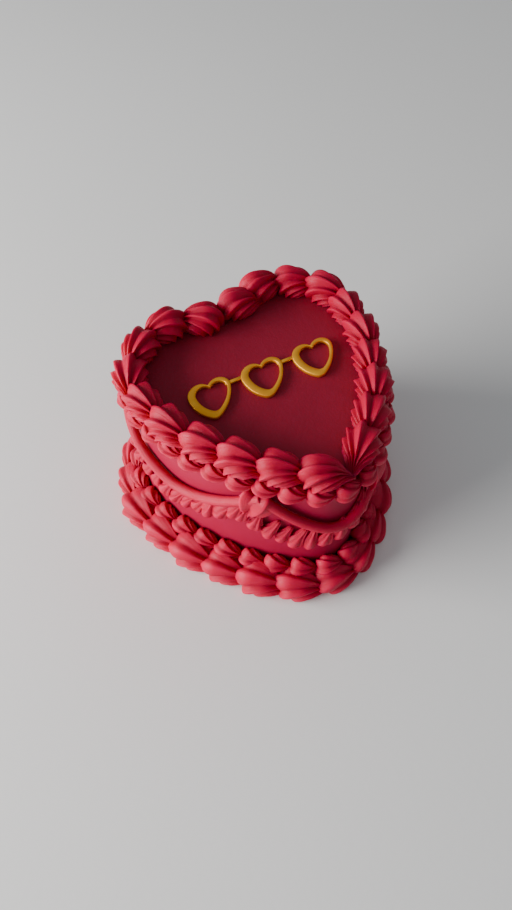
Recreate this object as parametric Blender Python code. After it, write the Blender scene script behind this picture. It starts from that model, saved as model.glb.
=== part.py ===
"""A small heart-shaped celebration cake, iced smooth in red buttercream with vintage piping.

The cake stands upright on z = 0 with its point toward -Y and its cleft toward +Y. It is uncut,
so the body is one solid. Round it run a border of large star-piped shells on the top rim,
a row of small shells just under the rim, five swags of smooth rope with a ruffle below each,
a large drop shell at each joint between swags, and a double border round the foot.
A flat gold ornament lies on top. Everything is in metres.
"""

import math

import bmesh
import bpy
import numpy as np
from mathutils import Matrix, Vector

# The heart that the rim border follows, seen from above: two lobe arcs and two long flank arcs
LOBE_RADIUS = 0.0310
LOBE_ACROSS = 0.0258
LOBE_UP = 0.0135
TIP_DOWN = 0.0700
TIP_RADIUS = 0.0200
FLANK_RADIUS = 0.1070
CORNER_SOFTNESS = 0.0030

# The iced body
CAKE_HEIGHT = 0.0829
WALL_OUT = 0.0026
EDGE_CHAMFER = 0.0015
WALL_POINTS = 68

# Clearance between neighbouring pieces
GAP = 0.0003

# Shells: radius of the fat part, ridges and depth of the grooves, how many, and where
RIM_RADIUS = 0.0097
RIM_STAR = (7, 0.20)
RIM_SHIFT = (-0.0013, 0.0008)
RIM_LEFT_COUNT = 10
RIM_LEFT_FIRST = 0.0108
RIM_LEFT_PITCH = 0.0178
RIM_RIGHT_COUNT = 10
RIM_RIGHT_FIRST = 0.0165
RIM_RIGHT_PITCH = 0.0169
RIM_STRAY = 0.0006
RIM_TURN = 0.07
RIM_SIZE_CHANGE = 0.04
CLEFT_TURN = -0.8
RING_SIZE_CHANGE = 0.05
UNDER_RADIUS = 0.0058
UNDER_STAR = (4, 0.22)
UNDER_COUNT = 33
UNDER_HEIGHT = 0.0775
UNDER_OUT = 0.0008
UNDER_LEAN = math.radians(90)
UNDER_PHASE = 0.2
FOOT_RADIUS = 0.0094
FOOT_STAR = (5, 0.20)
FOOT_COUNT = 23
FOOT_OUT = 0.0068
FOOT_HEIGHT = 0.0012
FOOT_LEAN = math.radians(20)
FOOT_PHASE = 0.34
FOOT_FAR = 0.0025
FOOT_FAT = 0.10
REACH_AT = (0.00, 0.03, 0.08, 0.27, 0.32, 0.93, 0.98, 1.00)
REACH = (-0.5, 0.3, 1.0, 1.0, 0.0, 0.0, -0.5, -0.5)
LEDGE_RADIUS = 0.0062
LEDGE_STAR = (4, 0.22)
LEDGE_COUNT = 31
LEDGE_OUT = 0.0026
LEDGE_FAR = 0.0002
LEDGE_HEIGHT = 0.0106
LEDGE_LEAN = math.radians(54)
LEDGE_PHASE = 0.5

# Swags of rope, and the ruffle and drop shells that go with them
ROPE_RADIUS = 0.0025
ROPE_OUT = 0.0030
ROPE_POINTS = 10
SWAG_TOP = 0.0690
SWAG_LOW = 0.0470
SWAG_CURVE = 1.7
FRONT_JOINT = 0.0395
SIDE_JOINT = 0.1330
RUFFLE_RADIUS = 0.0045
RUFFLE_WAIST = 0.0030
RUFFLE_WAIST_UP = 0.0010
RUFFLE_OUT = 0.0012
RUFFLE_PITCH = 0.0075
RUFFLE_DROP = 0.0112
RUFFLE_END = 0.0080
DROP_RADIUS = 0.0098
DROP_STAR = (5, 0.24)
DROP_HEIGHT = 0.0638
DROP_TILT = 0.35
DROP_SQUASH = 0.60
SWAG_NAMES = ("left", "back_left", "back_right", "right", "front")
JOINT_NAMES = ("front_left", "side_left", "cleft", "side_right", "front_right")

# The gold ornament: three linked open hearts, cut from a flat sheet
ORNAMENT_THICKNESS = 0.0018
ORNAMENT_HEART_WIDTH = 0.0215
ORNAMENT_PITCH = 0.0272
ORNAMENT_POINTS = 18
ORNAMENT_HOLE = 0.74
ORNAMENT_HOLE_SHIFT = (0.0010, 0.0002)
ORNAMENT_BAR_LENGTH = 0.0090
ORNAMENT_BAR_WIDTH = 0.0016
ORNAMENT_BAR_UP = 0.0035
ORNAMENT_LEAN = math.radians(12)
ORNAMENT_TURN = math.radians(-4)
ORNAMENT_PLACE = (-0.0018, -0.0030)

# Spines of the piped shapes, in units of the shell's radius: along, up, and radius there.
# Each starts at the blunt head and ends at the tail.
SHELL_SPINE = (
    (-0.90, 0.20, 0.44),
    (-0.30, 0.54, 0.99),
    (0.45, 0.50, 0.93),
    (1.45, 0.12, 0.30),
)
LONG_SPINE = SHELL_SPINE[:-1] + ((1.20, 0.20, 0.48), (1.85, 0.04, 0.12))
SMALL_SPINE = (
    (-0.88, 0.16, 0.50),
    (-0.05, 0.46, 1.00),
    (1.35, 0.10, 0.28),
)
SHELL_SQUASH = 0.92

# Clean-up of the fused shapes
WELD_DISTANCE = 1e-6
FLAT_ANGLE = math.radians(3)
FLOOR_BLOCK = 0.4
SOLVER = "MANIFOLD"

# Colour, roughness and metallic of each finish
ICING = ((0.42, 0.012, 0.030), 0.45, 0.0)
PIPING = ((0.50, 0.010, 0.028), 0.40, 0.0)
GOLD = ((0.60, 0.36, 0.04), 0.35, 1.0)


class Path:
    """The heart outline grown outward, giving place and direction at a distance from the point.

    Distances run clockwise seen from above, so positive ones lie on the -X flank.
    """

    SAMPLES = 720

    def __init__(self, grow):
        self.points = self.softened(self.corners(grow))
        closed = np.append(self.points, self.points[:1])
        self.distance = np.append(0, np.cumsum(abs(np.diff(closed))))
        self.closed = closed
        self.length = self.distance[-1]

    @staticmethod
    def arc(centre, radius, start, end):
        """Points of a clockwise arc, as complex numbers."""
        if end > start:
            end -= 2 * math.pi
        return centre + radius * np.exp(1j * np.linspace(start, end, 200))

    def corners(self, grow):
        """Tip, flank and lobe arcs of the -X half, then the other half mirrored."""
        lobe = complex(-LOBE_ACROSS, LOBE_UP)
        span = complex(0, -TIP_DOWN) - lobe
        inner = FLANK_RADIUS - LOBE_RADIUS
        along = (abs(span) ** 2 + inner**2 - FLANK_RADIUS**2) / (2 * abs(span))
        aside = math.sqrt(inner**2 - along**2)
        flank = lobe + (along + 1j * aside) * span / abs(span)
        rise = math.sqrt((FLANK_RADIUS - TIP_RADIUS) ** 2 - flank.real**2)
        tip = complex(0, flank.imag - rise)
        at_tip = np.angle(tip - flank)
        at_lobe = np.angle(lobe - flank)
        reach = LOBE_RADIUS + grow
        at_cleft = math.atan2(math.sqrt(reach**2 - LOBE_ACROSS**2), LOBE_ACROSS)
        half = np.concatenate(
            [
                self.arc(tip, TIP_RADIUS + grow, -math.pi / 2, at_tip),
                self.arc(flank, FLANK_RADIUS + grow, at_tip, at_lobe)[1:],
                self.arc(lobe, reach, at_lobe, at_cleft)[1:],
            ]
        )
        return np.concatenate([half, -half[-2:0:-1].conjugate()])

    def softened(self, points):
        """Evenly spaced points, with the corners rounded by a low-pass filter."""
        even = self.evenly(points)
        spacing = abs(even[1] - even[0])
        waves = np.fft.fftfreq(len(even), spacing)
        keep = np.exp(-0.5 * (2 * math.pi * CORNER_SOFTNESS * waves) ** 2)
        return self.evenly(np.fft.ifft(np.fft.fft(even) * keep))

    def evenly(self, points):
        closed = np.append(points, points[:1])
        distance = np.append(0, np.cumsum(abs(np.diff(closed))))
        wanted = np.linspace(0, distance[-1], self.SAMPLES, endpoint=False)
        return np.interp(wanted, distance, closed)

    def place(self, distance):
        """The point at this distance, as a complex number."""
        return np.interp(distance % self.length, self.distance, self.closed)

    def at(self, distance):
        """Point, clockwise direction and outward side, as 3-D vectors at z = 0."""
        step = 0.001
        way = self.place(distance + step) - self.place(distance - step)
        way /= abs(way)
        return [Vector((v.real, v.imag, 0)) for v in (self.place(distance), way, 1j * way)]


def wave(index, turn):
    """A repeatable unevenness between -1 and 1 for the piece with this index."""
    return math.sin(2.4 * index + turn) * math.cos(1.1 * index - turn)


def star_profile(ridges, depth):
    """A flat star of unit radius, one point on each ridge and one in each groove."""
    curve = bpy.data.curves.new("star_profile", "CURVE")
    curve.dimensions = "2D"
    spline = curve.splines.new("POLY")
    spline.points.add(2 * ridges - 1)
    spline.use_cyclic_u = True
    for index, point in enumerate(spline.points):
        angle = math.pi * index / ridges
        radius = 1.0 if index % 2 == 0 else 1.0 - depth
        point.co = (radius * math.cos(angle), radius * math.sin(angle), 0, 1)
    return bpy.data.objects.new("star_profile", curve)


def mesh_from(thing):
    """The evaluated mesh of an object, welded, with its faces pointing out."""
    scene.collection.objects.link(thing)
    bpy.context.view_layer.update()
    graph = bpy.context.evaluated_depsgraph_get()
    mesh = bpy.data.meshes.new_from_object(thing.evaluated_get(graph))
    scene.collection.objects.unlink(thing)
    body = bmesh.new()
    body.from_mesh(mesh)
    bmesh.ops.remove_doubles(body, verts=body.verts, dist=1e-7)
    bmesh.ops.recalc_face_normals(body, faces=body.faces)
    body.to_mesh(mesh)
    body.free()
    return mesh


def piped(spine, radius, star, squash, grow):
    """One piped shape: a star swept along its spine, thin at the tail. Tail toward +X, up is +Z."""
    profile = star_profile(*star)
    curve = bpy.data.curves.new("piped", "CURVE")
    curve.dimensions = "3D"
    curve.bevel_mode = "OBJECT"
    curve.bevel_object = profile
    curve.use_fill_caps = True
    spline = curve.splines.new("POLY")
    spline.points.add(len(spine) - 1)
    for point, (along, up, thick) in zip(spline.points, spine):
        point.co = (along * radius, 0, up * radius, 1)
        point.radius = thick * radius + grow
    spline.points[0].co.x -= grow
    spline.points[-1].co.x += grow
    mesh = mesh_from(bpy.data.objects.new("piped", curve))
    mesh.transform(Matrix.Diagonal((1, 1, squash, 1)))
    bpy.data.objects.remove(profile)
    return mesh


def shell_and_cutter(spine, radius, star, squash=SHELL_SQUASH):
    """A shell, and the same shell grown by the gap to cut its neighbours with."""
    return [piped(spine, radius, star, squash, grow) for grow in (0, GAP)]


def frame_of(place, along, up, scale=1.0):
    """The matrix that puts a shape at a place with its +X and +Z that way."""
    along = along.normalized()
    across = up.cross(along).normalized()
    up = along.cross(across)
    turn = Matrix((along, across, up)).transposed()
    return Matrix.Translation(place) @ turn.to_4x4() @ Matrix.Scale(scale, 4)


def largest_body(mesh):
    """Keeps the largest connected body of a mesh, and drops scraps and sealed bubbles."""
    body = bmesh.new()
    body.from_mesh(mesh)
    bmesh.ops.remove_doubles(body, verts=body.verts, dist=WELD_DISTANCE)
    bmesh.ops.dissolve_degenerate(body, edges=body.edges, dist=WELD_DISTANCE)
    bmesh.ops.dissolve_limit(body, angle_limit=FLAT_ANGLE, verts=body.verts, edges=body.edges)
    left = set(body.verts)
    groups = []
    while left:
        group = {left.pop()}
        edge = set(group)
        while edge:
            edge = {e.other_vert(v) for v in edge for e in v.link_edges} & left
            left -= edge
            group |= edge
        groups.append(group)
    groups.sort(key=len)
    scraps = [vert for group in groups[:-1] for vert in group]
    bmesh.ops.delete(body, geom=scraps, context="VERTS")
    bmesh.ops.triangulate(body, faces=body.faces)
    body.to_mesh(mesh)
    body.free()


def collection_of(name, placed):
    """A collection holding one object for each (mesh, matrix)."""
    group = bpy.data.collections.new(name)
    for mesh, matrix in placed:
        piece = bpy.data.objects.new(name, mesh)
        piece.matrix_world = matrix
        group.objects.link(piece)
    return group


def add_boolean(thing, operation, group):
    modifier = thing.modifiers.new(operation.title(), "BOOLEAN")
    modifier.operation = operation
    modifier.operand_type = "COLLECTION"
    modifier.collection = group
    modifier.solver = SOLVER


def fused(name, placed, cutters, finish):
    """One node: the placed shapes joined, with the cutters' groups taken away."""
    first_mesh, first_matrix = placed[0]
    host_mesh = first_mesh.copy()
    host_mesh.transform(first_matrix)
    host = bpy.data.objects.new(name, host_mesh)
    rest = collection_of(name + "_shapes", placed[1:])
    scene.collection.children.link(rest)
    if placed[1:]:
        add_boolean(host, "UNION", rest)
    for cutter in cutters:
        add_boolean(host, "DIFFERENCE", cutter)
    mesh = mesh_from(host)
    for piece in list(rest.objects) + [host]:
        bpy.data.objects.remove(piece)
    bpy.data.collections.remove(rest)
    largest_body(mesh)
    return node(name, mesh, finish)


def node(name, mesh, finish):
    """A named object of the cake, with a material of its own."""
    colour, roughness, metallic = finish
    material = bpy.data.materials.new(name)
    material.use_nodes = True
    shader = material.node_tree.nodes["Principled BSDF"]
    shader.inputs["Base Color"].default_value = (*colour, 1)
    shader.inputs["Roughness"].default_value = roughness
    shader.inputs["Metallic"].default_value = metallic
    mesh.name = name
    mesh.materials.clear()
    mesh.materials.append(material)
    mesh.shade_flat()
    thing = bpy.data.objects.new(name, mesh)
    parts.objects.link(thing)
    return thing


def cutter_group(name, placed):
    """A hidden collection of cutters."""
    group = collection_of(name, placed)
    group.hide_render = True
    cutters.children.link(group)
    for piece in group.objects:
        piece.hide_render = True
        piece.display_type = "WIRE"
    return group


def heart_block(out, height, chamfer):
    """An upright block with the heart outline, and a chamfer round its top edge."""
    path = Path(out)
    steps = np.linspace(0, path.length, WALL_POINTS, endpoint=False)
    body = bmesh.new()
    ring = [body.verts.new(path.at(step)[0]) for step in steps]
    floor = body.faces.new(ring)
    top = bmesh.ops.extrude_face_region(body, geom=[floor])["geom"]
    top_verts = [v for v in top if isinstance(v, bmesh.types.BMVert)]
    top_edges = [e for e in top if isinstance(e, bmesh.types.BMEdge)]
    bmesh.ops.translate(body, verts=top_verts, vec=(0, 0, height))
    if chamfer:
        bmesh.ops.bevel(body, geom=top_edges, offset=chamfer, segments=1, affect="EDGES")
    bmesh.ops.recalc_face_normals(body, faces=body.faces)
    mesh = bpy.data.meshes.new("heart_block")
    body.to_mesh(mesh)
    body.free()
    return mesh


def rim_places():
    """Matrices of the large rim shells, and which one ends its run in a long tail."""
    path = Path(0)
    places = []
    runs = (
        (1, RIM_LEFT_COUNT, RIM_LEFT_FIRST, RIM_LEFT_PITCH),
        (-1, RIM_RIGHT_COUNT, RIM_RIGHT_FIRST, RIM_RIGHT_PITCH),
    )
    for side, count, first, pitch in runs:
        for index in range(count):
            place, way, out = path.at(side * (first + pitch * index))
            place += out * RIM_STRAY * wave(index, side)
            place += Vector((*RIM_SHIFT, CAKE_HEIGHT))
            way = (-side * way + out * RIM_TURN * wave(index, side + 2)).normalized()
            size = 1 + RIM_SIZE_CHANGE * wave(index, side + 1)
            if side < 0 and index == count - 1:
                way = (way + out * CLEFT_TURN).normalized()
            last = side < 0 and index == 0
            places.append((frame_of(place, way, Vector((0, 0, 1)), size), last))
    return places


def ring_places(out, count, height, lean, phase, far=0, fat=0):
    """Matrices of a ring of shells that all point one way, leaning out from the wall.

    On the left front flank they stand further out by far, and are larger by fat.
    """
    path = Path(out)
    places = []
    for index in range(count):
        place, way, outward = path.at((index + phase) * path.length / count)
        reach = np.interp((index + phase) / count, REACH_AT, REACH)
        place += outward * far * reach
        place.z = height
        up = Vector((0, 0, 1)) * math.cos(lean) + outward * math.sin(lean)
        size = (1 + RING_SIZE_CHANGE * wave(index, phase)) * (1 + fat * max(reach, 0))
        places.append(frame_of(place, -way, up, size))
    return places


def swag_ends(path):
    """Start and end of each swag along the wall, from joint to joint."""
    half = path.length / 2
    joints = [FRONT_JOINT, SIDE_JOINT, half, 2 * half - SIDE_JOINT, 2 * half - FRONT_JOINT]
    ends = list(zip(joints, joints[1:] + [joints[0] + path.length]))
    return joints, ends


def swag_height(fraction):
    """The rope's height at a fraction of the way along, as a hanging curve."""
    return SWAG_LOW + (SWAG_TOP - SWAG_LOW) * abs(2 * fraction - 1) ** SWAG_CURVE


def swag_stretch(fraction, length):
    """How much longer a vertical step below the rope is than a square one, for its slope there."""
    steep = abs(2 * fraction - 1) ** (SWAG_CURVE - 1)
    slope = 2 * SWAG_CURVE * (SWAG_TOP - SWAG_LOW) * steep / length
    return math.hypot(1, slope)


def tube(points, radii):
    """A round tube through these points, with its own radius at each."""
    curve = bpy.data.curves.new("tube", "CURVE")
    curve.dimensions = "3D"
    curve.bevel_depth = 1.0
    curve.bevel_resolution = 1
    curve.use_fill_caps = True
    spline = curve.splines.new("POLY")
    spline.points.add(len(points) - 1)
    for point, place, radius in zip(spline.points, points, radii):
        point.co = (*place, 1)
        point.radius = radius
    return mesh_from(bpy.data.objects.new("tube", curve))


def rope(start, end, grow=0.0):
    """A smooth round rope that hangs between two joints of the wall."""
    path = Path(WALL_OUT + ROPE_OUT)
    points = []
    for fraction in np.linspace(0, 1, ROPE_POINTS):
        place = path.at(start + (end - start) * fraction)[0]
        place.z = swag_height(fraction)
        points.append(place)
    return tube(points, [ROPE_RADIUS + grow] * ROPE_POINTS)


def ruffle(start, end):
    """A beaded strip below one rope: fat and low at each bead, thin and high between beads."""
    path = Path(WALL_OUT + RUFFLE_OUT)
    length = end - start - 2 * RUFFLE_END
    beads = round(length / RUFFLE_PITCH)
    points = []
    radii = []
    for step in range(2 * beads + 1):
        along = RUFFLE_END + length * step / (2 * beads)
        bead = step % 2
        fraction = along / (end - start)
        below = RUFFLE_DROP - (1 - bead) * RUFFLE_WAIST_UP
        place = path.at(start + along)[0]
        place.z = swag_height(fraction) - below * swag_stretch(fraction, end - start)
        points.append(place)
        radii.append(RUFFLE_RADIUS if bead else RUFFLE_WAIST)
    return tube(points, radii)


def ornament_mesh():
    """An open heart with a stroke thick on one side and thin on the other, and a thin bar."""
    outline = Path(0).points[:: Path.SAMPLES // ORNAMENT_POINTS]
    outline = outline * ORNAMENT_HEART_WIDTH / np.ptp(outline.real)
    outline = outline + outline.imag * math.tan(ORNAMENT_LEAN)
    hole = outline * ORNAMENT_HOLE + complex(*ORNAMENT_HOLE_SHIFT)
    thickness = ORNAMENT_THICKNESS / 2
    heart = flat_cut([outline, hole], thickness)
    bar_end = ORNAMENT_BAR_LENGTH / 2
    bar_half = ORNAMENT_BAR_WIDTH / 2
    corners = [complex(x * bar_end, y * bar_half) for x, y in ((-1, -1), (1, -1), (1, 1), (-1, 1))]
    return heart, flat_cut([corners], thickness)


def flat_cut(loops, half_thickness):
    """A flat piece with these outlines, as a filled 2-D curve."""
    curve = bpy.data.curves.new("flat_cut", "CURVE")
    curve.dimensions = "2D"
    curve.fill_mode = "BOTH"
    curve.extrude = half_thickness
    for loop in loops:
        spline = curve.splines.new("POLY")
        spline.points.add(len(loop) - 1)
        spline.use_cyclic_u = True
        for point, value in zip(spline.points, loop):
            point.co = (value.real, value.imag, 0, 1)
    return mesh_from(bpy.data.objects.new("flat_cut", curve))


def ornament_places():
    """Matrices of the three hearts and the two bars between them."""
    centre = Vector((*ORNAMENT_PLACE, CAKE_HEIGHT + GAP + ORNAMENT_THICKNESS / 2))
    frame = Matrix.Translation(centre) @ Matrix.Rotation(ORNAMENT_TURN, 4, "Z")
    hearts = [frame @ Matrix.Translation((k * ORNAMENT_PITCH, 0, 0)) for k in (-1, 0, 1)]
    bars = [
        frame @ Matrix.Translation((k * ORNAMENT_PITCH, ORNAMENT_BAR_UP, 0)) for k in (-0.5, 0.5)
    ]
    return hearts, bars


def centred_on_origin(things):
    """Parents everything to an empty, placed so that the whole stands centred on the origin."""
    corners = np.array([v.co for thing in things for v in thing.data.vertices])
    middle = (corners.min(axis=0) + corners.max(axis=0)) / 2
    root = bpy.data.objects.new("heart_cake", None)
    root.location = (-middle[0], -middle[1], 0)
    parts.objects.link(root)
    for thing in things:
        thing.parent = root


for old in list(bpy.data.objects):
    bpy.data.objects.remove(old)
scene = bpy.context.scene
parts = bpy.data.collections.new("heart_cake")
cutters = bpy.data.collections.new("cutters")
cutters.hide_render = True
scene.collection.children.link(parts)
scene.collection.children.link(cutters)
here = Matrix.Identity(4)
made = []

made.append(node("cake_body", heart_block(WALL_OUT, CAKE_HEIGHT, EDGE_CHAMFER), ICING))
body_cut = cutter_group(
    "body_cutter", [(heart_block(WALL_OUT + GAP, CAKE_HEIGHT + GAP, 0), here)]
)

# Rim border: ten large shells down each flank, their tails meeting at the point
rim = rim_places()
rim_shell, rim_grown = shell_and_cutter(SHELL_SPINE, RIM_RADIUS, RIM_STAR)
long_shell, long_grown = shell_and_cutter(LONG_SPINE, RIM_RADIUS, RIM_STAR)
rim_placed = [(long_shell if last else rim_shell, matrix) for matrix, last in rim]
made.append(fused("rim_border", rim_placed, [body_cut], PIPING))
rim_cut = cutter_group(
    "rim_cutter", [(long_grown if last else rim_grown, matrix) for matrix, last in rim]
)

# Small shells under the rim
under = ring_places(WALL_OUT + UNDER_OUT, UNDER_COUNT, UNDER_HEIGHT, UNDER_LEAN, UNDER_PHASE)
small_shell, small_grown = shell_and_cutter(SMALL_SPINE, UNDER_RADIUS, UNDER_STAR)
made.append(
    fused("under_rim_border", [(small_shell, m) for m in under], [body_cut, rim_cut], PIPING)
)
under_cut = cutter_group("under_rim_cutter", [(small_grown, m) for m in under])

# A drop shell on each joint of the swags
joints, spans = swag_ends(Path(WALL_OUT + ROPE_OUT))
drop_shell, drop_grown = shell_and_cutter(LONG_SPINE, DROP_RADIUS, DROP_STAR, DROP_SQUASH)
drop_cuts = []
for joint, name in zip(joints, JOINT_NAMES):
    place, way, out = Path(WALL_OUT).at(joint)
    place.z = DROP_HEIGHT
    matrix = frame_of(place, Vector((0, 0, -1)) + way * DROP_TILT, out)
    made.append(
        fused("drop_" + name, [(drop_shell, matrix)], [body_cut, under_cut], PIPING)
    )
    drop_cuts.append(cutter_group("drop_cutter_" + name, [(drop_grown, matrix)]))

# A rope from joint to joint, and the ruffle below it
for index, ((start, end), name) in enumerate(zip(spans, SWAG_NAMES)):
    cuts = [body_cut, drop_cuts[index], drop_cuts[(index + 1) % len(drop_cuts)]]
    made.append(fused("swag_" + name, [(rope(start, end), here)], cuts, PIPING))
    cuts.append(cutter_group("rope_cutter_" + name, [(rope(start, end, GAP), here)]))
    made.append(fused("ruffle_" + name, [(ruffle(start, end), here)], cuts, PIPING))

# Double border round the foot: small shells against the wall, large ones under and before them
ledge = ring_places(
    WALL_OUT + LEDGE_OUT, LEDGE_COUNT, LEDGE_HEIGHT, LEDGE_LEAN, LEDGE_PHASE, LEDGE_FAR
)
ledge_shell, ledge_grown = shell_and_cutter(SMALL_SPINE, LEDGE_RADIUS, LEDGE_STAR)
made.append(fused("ledge_border", [(ledge_shell, m) for m in ledge], [body_cut], PIPING))
ledge_cut = cutter_group("ledge_cutter", [(ledge_grown, m) for m in ledge])
floor_block = bmesh.new()
bmesh.ops.create_cube(floor_block, size=FLOOR_BLOCK)
floor_mesh = bpy.data.meshes.new("floor_block")
floor_block.to_mesh(floor_mesh)
floor_block.free()
under_floor = Matrix.Translation((0, 0, -FLOOR_BLOCK / 2))
floor_cut = cutter_group("floor_cutter", [(floor_mesh, under_floor)])
foot = ring_places(
    WALL_OUT + FOOT_OUT, FOOT_COUNT, FOOT_HEIGHT, FOOT_LEAN, FOOT_PHASE, FOOT_FAR, FOOT_FAT
)
foot_shell, _ = shell_and_cutter(SHELL_SPINE, FOOT_RADIUS, FOOT_STAR)
foot_cuts = [body_cut, floor_cut, ledge_cut]
made.append(fused("foot_border", [(foot_shell, m) for m in foot], foot_cuts, PIPING))

# Gold ornament
heart, bar = ornament_mesh()
hearts, bars = ornament_places()
made.append(
    fused("gold_ornament", [(heart, m) for m in hearts] + [(bar, m) for m in bars], [], GOLD)
)

centred_on_origin(made)
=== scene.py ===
# %% [markdown]
# # A small heart cake with piped borders
# This lesson dresses a heart-shaped cake in smooth red buttercream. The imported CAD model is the
# frame: it says where each border, rope and shell lies. Each of its coarse solids could be
# smoothed, but piped cream has thin crests and deep flutes that a smoothed solid can't give.
# So each solid is replaced by a finer piece, made in code at the same place.

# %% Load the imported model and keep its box
import math
import random

import bmesh
import bpy
import numpy as np
from mathutils import Matrix, Vector


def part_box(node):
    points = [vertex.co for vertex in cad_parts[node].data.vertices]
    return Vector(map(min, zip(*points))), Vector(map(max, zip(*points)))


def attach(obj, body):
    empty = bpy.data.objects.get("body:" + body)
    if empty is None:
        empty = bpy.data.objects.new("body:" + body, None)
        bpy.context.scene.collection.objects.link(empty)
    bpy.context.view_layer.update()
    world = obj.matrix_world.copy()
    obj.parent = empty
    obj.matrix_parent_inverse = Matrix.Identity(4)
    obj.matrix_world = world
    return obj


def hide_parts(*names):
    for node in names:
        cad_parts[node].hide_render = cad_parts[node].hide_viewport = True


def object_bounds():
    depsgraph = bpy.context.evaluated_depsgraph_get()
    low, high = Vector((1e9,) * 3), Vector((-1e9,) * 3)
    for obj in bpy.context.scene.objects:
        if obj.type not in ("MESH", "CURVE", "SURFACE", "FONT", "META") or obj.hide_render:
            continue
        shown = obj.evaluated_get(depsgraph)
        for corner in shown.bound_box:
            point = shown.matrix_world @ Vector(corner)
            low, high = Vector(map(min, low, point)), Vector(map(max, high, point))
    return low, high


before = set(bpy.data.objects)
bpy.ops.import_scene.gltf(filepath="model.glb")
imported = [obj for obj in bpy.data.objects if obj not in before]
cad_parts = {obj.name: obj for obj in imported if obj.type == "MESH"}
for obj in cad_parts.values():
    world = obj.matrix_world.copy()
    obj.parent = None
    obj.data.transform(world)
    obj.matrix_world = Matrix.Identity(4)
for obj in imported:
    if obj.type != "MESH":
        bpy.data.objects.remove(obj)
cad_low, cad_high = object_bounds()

print("CAD box in mm:", [round(1000 * v, 1) for v in (*cad_low, *cad_high)])

# %% [markdown]
# ## The heart outline
# Every border follows the edge of one heart: two lobe arcs and two long flank arcs, with the
# corners softened as an icing scraper leaves them. The outline could be a Bezier curve. Arcs
# were chosen because the CAD part uses them, so each piece lands where its solid is.

# %% Measures of the heart and the body, in metres
LOBE_RADIUS, LOBE_ACROSS, LOBE_UP = 0.0310, 0.0258, 0.0135
TIP_DOWN, TIP_RADIUS, FLANK_RADIUS, CORNER_SOFTNESS = 0.0700, 0.0200, 0.1070, 0.0030
CAKE_HEIGHT = 0.0829
WALL_OUT = 0.0026


# %% The outline as a path that can be grown outward
class Path:
    """The heart grown outward. Distances run clockwise from the point, seen from above."""

    SAMPLES = 720
    ARC_POINTS = 200
    SIDE_STEP = 0.001

    def __init__(self, grow):
        self.points = self.softened(self.corners(grow))
        self.closed = np.append(self.points, self.points[:1])
        self.distance = np.append(0, np.cumsum(abs(np.diff(self.closed))))
        self.length = self.distance[-1]

    @staticmethod
    def arc(centre, radius, start, end):
        """Points of a clockwise arc, as complex numbers."""
        if end > start:
            end -= 2 * math.pi
        return centre + radius * np.exp(1j * np.linspace(start, end, Path.ARC_POINTS))

    def corners(self, grow):
        """Tip, flank and lobe arcs of the left half, then the other half mirrored."""
        lobe = complex(-LOBE_ACROSS, LOBE_UP)
        span = complex(0, -TIP_DOWN) - lobe
        inner = FLANK_RADIUS - LOBE_RADIUS
        along = (abs(span) ** 2 + inner**2 - FLANK_RADIUS**2) / (2 * abs(span))
        aside = math.sqrt(inner**2 - along**2)
        flank = lobe + (along + 1j * aside) * span / abs(span)
        rise = math.sqrt((FLANK_RADIUS - TIP_RADIUS) ** 2 - flank.real**2)
        tip = complex(0, flank.imag - rise)
        at_tip, at_lobe = np.angle(tip - flank), np.angle(lobe - flank)
        reach = LOBE_RADIUS + grow
        at_cleft = math.atan2(math.sqrt(reach**2 - LOBE_ACROSS**2), LOBE_ACROSS)
        half = np.concatenate([
            self.arc(tip, TIP_RADIUS + grow, -math.pi / 2, at_tip),
            self.arc(flank, FLANK_RADIUS + grow, at_tip, at_lobe)[1:],
            self.arc(lobe, reach, at_lobe, at_cleft)[1:],
        ])
        return np.concatenate([half, -half[-2:0:-1].conjugate()])

    def softened(self, points):
        """Evenly spaced points, with the corners rounded by a low-pass filter."""
        even = self.evenly(points)
        waves = np.fft.fftfreq(len(even), abs(even[1] - even[0]))
        keep = np.exp(-0.5 * (2 * math.pi * CORNER_SOFTNESS * waves) ** 2)
        return self.evenly(np.fft.ifft(np.fft.fft(even) * keep))

    def evenly(self, points):
        """Points at even distances along the same line."""
        closed = np.append(points, points[:1])
        distance = np.append(0, np.cumsum(abs(np.diff(closed))))
        wanted = np.linspace(0, distance[-1], self.SAMPLES, endpoint=False)
        return np.interp(wanted, distance, closed)

    def place(self, distance):
        """The point at this distance, as a complex number."""
        return np.interp(distance % self.length, self.distance, self.closed)

    def at(self, distance):
        """Point, clockwise direction and outward side, as 3-D vectors at z = 0."""
        way = self.place(distance + self.SIDE_STEP) - self.place(distance - self.SIDE_STEP)
        way /= abs(way)
        return [Vector((v.real, v.imag, 0)) for v in (self.place(distance), way, 1j * way)]


# %% Find where the heart stands in the frame
body_low, body_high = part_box("cake_body")
wall_points = Path(WALL_OUT).points
wall_middle = Vector((
    (wall_points.real.min() + wall_points.real.max()) / 2,
    (wall_points.imag.min() + wall_points.imag.max()) / 2,
    0,
))
SHIFT = (body_low + body_high) / 2 - wall_middle
SHIFT.z = 0
print("heart stands at", [round(1000 * v, 2) for v in SHIFT], "mm")

# %% [markdown]
# ## The camera
# The photograph was taken from above and a little to the left of the point, with a phone. The
# camera could be placed by eye. Here its place comes from the cake's own rows and its height,
# worked out beforehand, so the pieces land on the same parts of the picture.

# %% The camera
PHOTO_LONG_SIDE, FOCAL_PIXELS = 910, 760
SENSOR_WIDTH = 36
CAMERA_PLACE = Vector((-0.1267, -0.1979, 0.3553))
CAMERA_HEADING = math.radians(31.89)
CAMERA_PITCH = math.radians(55.49)
CAMERA_ROLL = math.radians(-0.54)

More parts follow.
